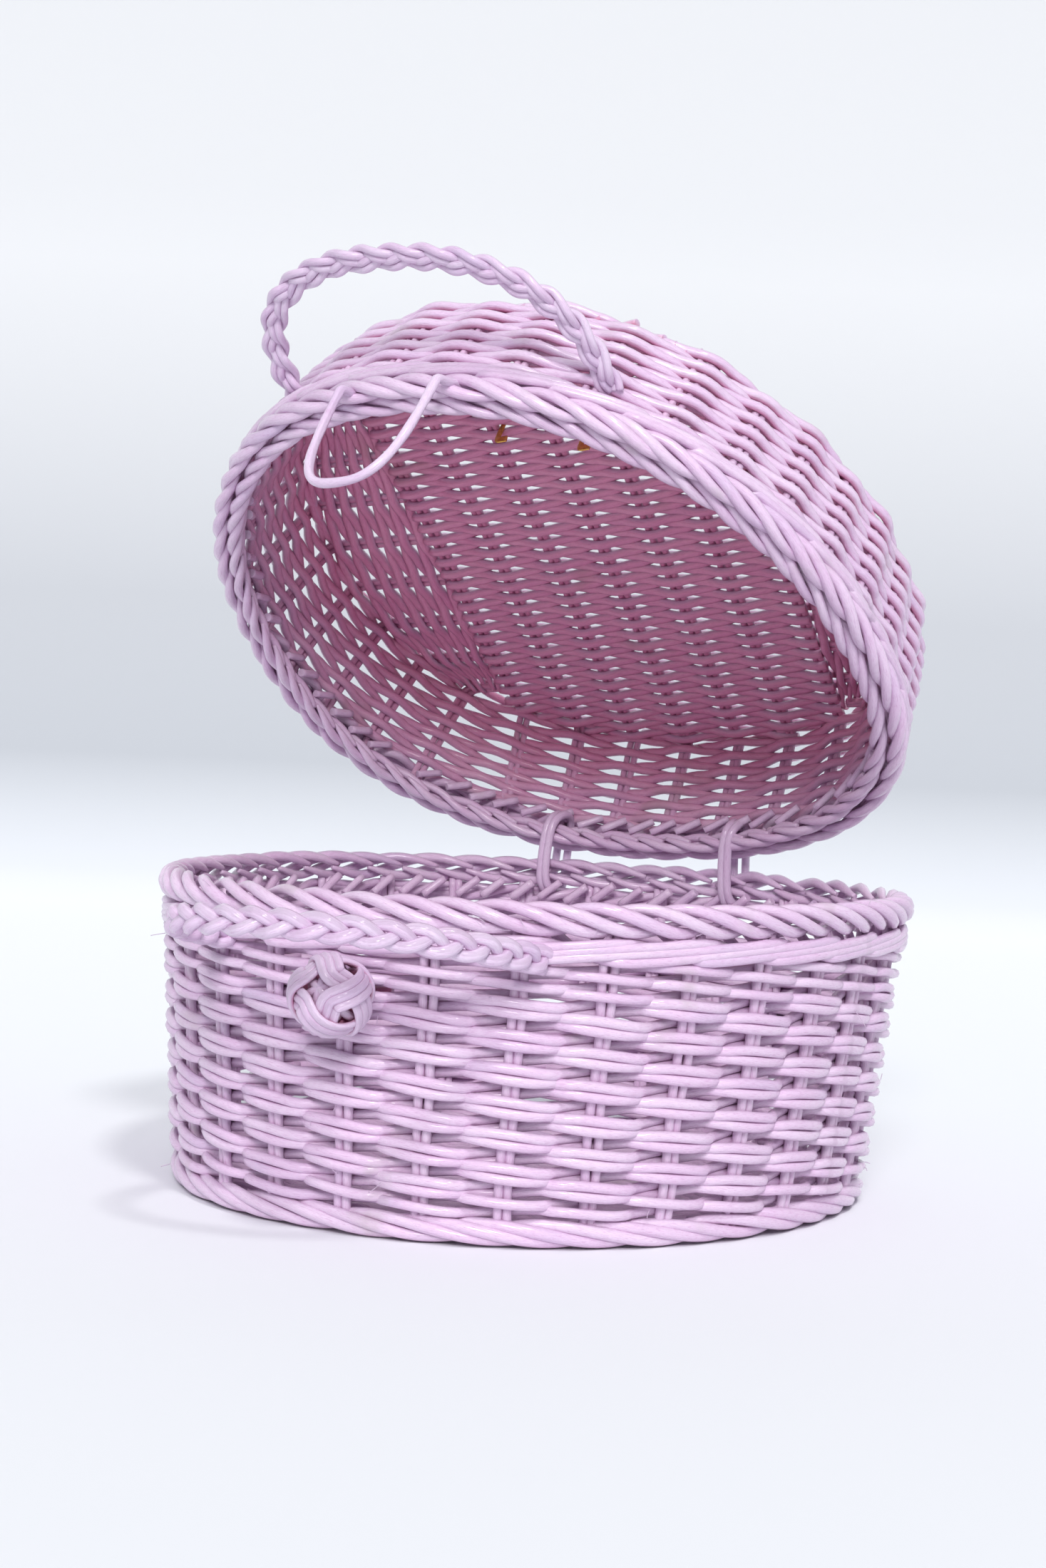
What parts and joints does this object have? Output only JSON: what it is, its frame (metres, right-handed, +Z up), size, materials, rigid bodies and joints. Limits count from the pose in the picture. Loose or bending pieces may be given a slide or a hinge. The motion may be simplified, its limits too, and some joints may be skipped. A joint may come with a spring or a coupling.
{
  "type": "easter basket",
  "caption": "Painted wicker easter basket with a hinged woven lid, braided handles on base and lid, and a cane loop that hooks over a woven ball.",
  "frame": {"origin": "on the underside of the base's floor, under the middle of the rim's oval, at table height", "axes": "+Z up, the front with the knob and the handles towards -Y, the hinge at the back towards +Y, +X to the right seen from the front"},
  "size_m": [0.346, 0.4219, 0.4048],
  "materials": {
    "painted_willow": "glossy pink paint over willow rods, thin and streaky",
    "painted_cane": "glossy paler pink paint over split cane",
    "brass": "bright bent strip"
  },
  "bodies": {
    "base": {"base_floor": "painted_willow", "base_foot_border": "painted_willow", "base_wall": "painted_willow", "base_upper_wale": "painted_willow", "base_rim_border": "painted_willow", "base_stake_01": "painted_willow", "base_stake_02": "painted_willow", "base_stake_03": "painted_willow", "base_stake_04": "painted_willow", "base_stake_05": "painted_willow", "base_stake_06": "painted_willow", "base_stake_07": "painted_willow", "base_stake_08": "painted_willow", "base_stake_09": "painted_willow", "base_stake_10": "painted_willow", "base_stake_11": "painted_willow", "base_stake_12": "painted_willow", "base_stake_13": "painted_willow", "base_stake_14": "painted_willow", "base_stake_15": "painted_willow", "base_stake_16": "painted_willow", "base_stake_17": "painted_willow", "base_stake_18": "painted_willow", "base_stake_19": "painted_willow", "base_stake_20": "painted_willow", "base_stake_21": "painted_willow", "base_stake_22": "painted_willow", "base_stake_23": "painted_willow", "base_stake_24": "painted_willow", "base_stake_25": "painted_willow", "base_stake_26": "painted_willow", "base_stake_27": "painted_willow", "base_stake_28": "painted_willow", "knob_ball": "painted_cane", "knob_tie": "painted_cane", "hinge_loop_left": "painted_cane", "hinge_loop_right": "painted_cane"},
    "lid": {"lid_rim_outer_rope": "painted_willow", "lid_rim_inner_rope": "painted_willow", "lid_wall": "painted_willow", "lid_panel": "painted_willow", "lid_stake_01": "painted_willow", "lid_stake_02": "painted_willow", "lid_stake_03": "painted_willow", "lid_stake_04": "painted_willow", "lid_stake_05": "painted_willow", "lid_stake_06": "painted_willow", "lid_stake_07": "painted_willow", "lid_side_stake_left_1": "painted_willow", "lid_side_stake_left_2": "painted_willow", "lid_side_stake_left_3": "painted_willow", "lid_side_stake_right_1": "painted_willow", "lid_side_stake_right_2": "painted_willow", "lid_side_stake_right_3": "painted_willow", "brass_tie_left": "brass", "brass_tie_right": "brass"},
    "lid_handle": {"lid_handle": "painted_cane"},
    "base_handle": {"base_handle": "painted_cane"},
    "clasp": {"clasp_loop": "painted_cane"}
  },
  "joints": [
    {"name": "lid_hinge", "type": "hinge", "parent": "base", "child": "lid", "pos_m": [0.0046, 0.1591, 0.1477], "axis": [-0.988, -0.0514, -0.1456], "range_deg": [-39.36, 45], "deforming": ["hinge_loop_left", "hinge_loop_right", "clasp_loop"]},
    {"name": "lid_handle_swing", "type": "hinge", "parent": "lid", "child": "lid_handle", "pos_m": [-0.01546, -0.06455, 0.35119], "axis": [-1, 0.0052, -0.0042], "range_deg": [-15, 20]},
    {"name": "base_handle_swing", "type": "hinge", "parent": "base", "child": "base_handle", "pos_m": [0.0146, -0.14873, 0.116], "axis": [-0.9955, -0.0944, 0], "range_deg": [-15, 16]},
    {"name": "clasp_swing", "type": "hinge", "parent": "lid", "child": "clasp", "pos_m": [-0.02066, -0.09123, 0.35154], "axis": [-0.9946, 0.0808, -0.0652], "range_deg": [0, 70]}
  ]
}
